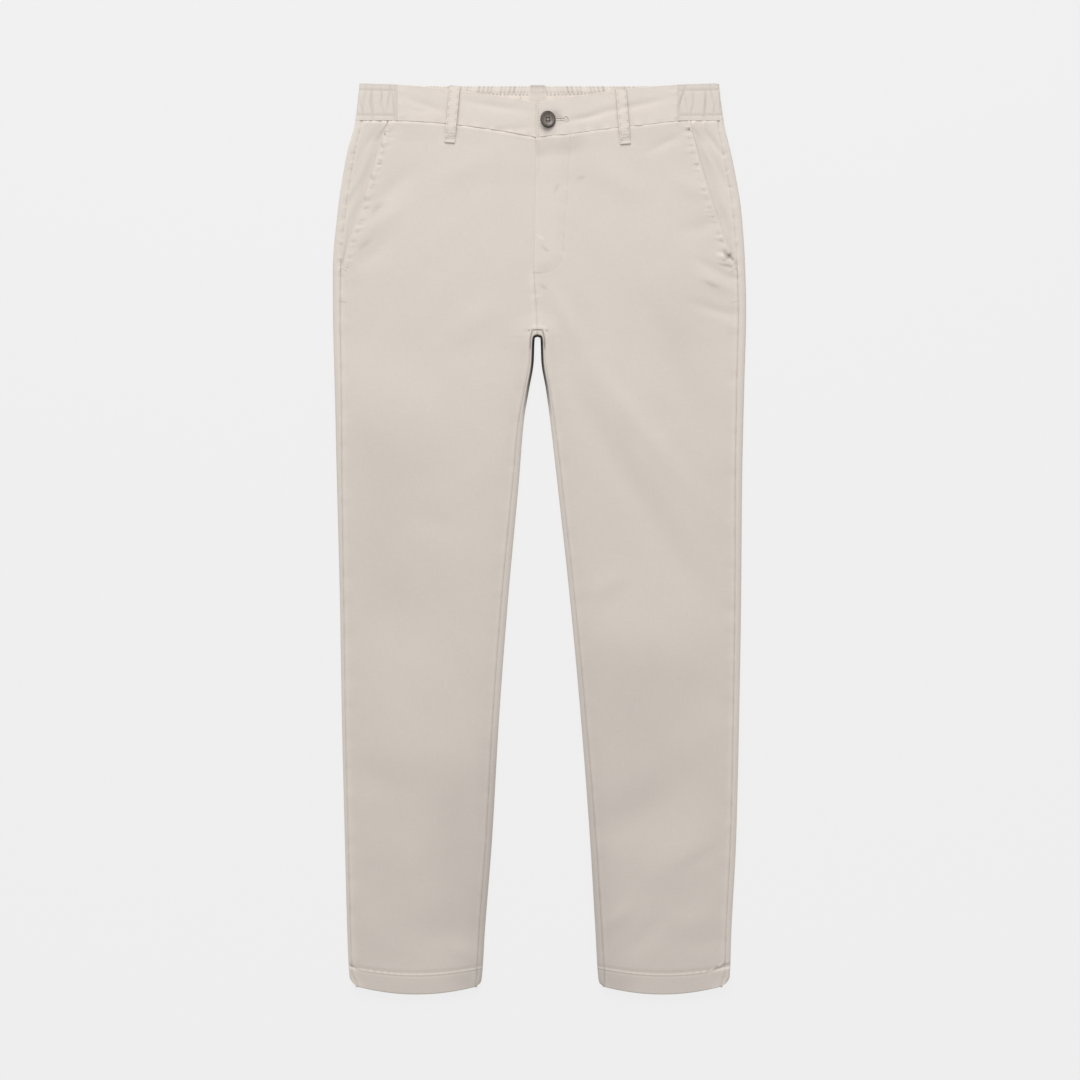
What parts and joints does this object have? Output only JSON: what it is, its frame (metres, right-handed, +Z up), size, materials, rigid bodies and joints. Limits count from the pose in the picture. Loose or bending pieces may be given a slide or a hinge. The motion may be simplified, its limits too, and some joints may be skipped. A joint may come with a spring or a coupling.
{
  "type": "chino trousers",
  "caption": "Tapered chino trousers laid flat on their back, with slant pockets, a buttoned fly, belt loops and an elastic waistband at the sides and back.",
  "frame": {"origin": "on the surface that the trousers lie on, under the middle of their outline", "axes": "+Y towards the waist, +Z up, out of the front of the trousers, +X towards the wearer's left leg"},
  "size_m": [0.475, 1.0464, 0.0179],
  "materials": {
    "chino_twill": "brushed cotton twill, stone beige, matt",
    "button_horn": "mottled dark taupe horn-effect resin, satin"
  },
  "bodies": {
    "root": {"back_left": "chino_twill", "back_right": "chino_twill", "front_left": "chino_twill", "front_right": "chino_twill", "pocket_facing_left": "chino_twill", "pocket_facing_right": "chino_twill", "waistband_front_left": "chino_twill", "waistband_front_right": "chino_twill", "waistband_back_left": "chino_twill", "waistband_back_right": "chino_twill", "belt_loop_front_left": "chino_twill", "belt_loop_front_right": "chino_twill", "belt_loop_back_left": "chino_twill", "belt_loop_back_right": "chino_twill", "belt_loop_back_centre": "chino_twill", "button": "button_horn"}
  },
  "joints": []
}
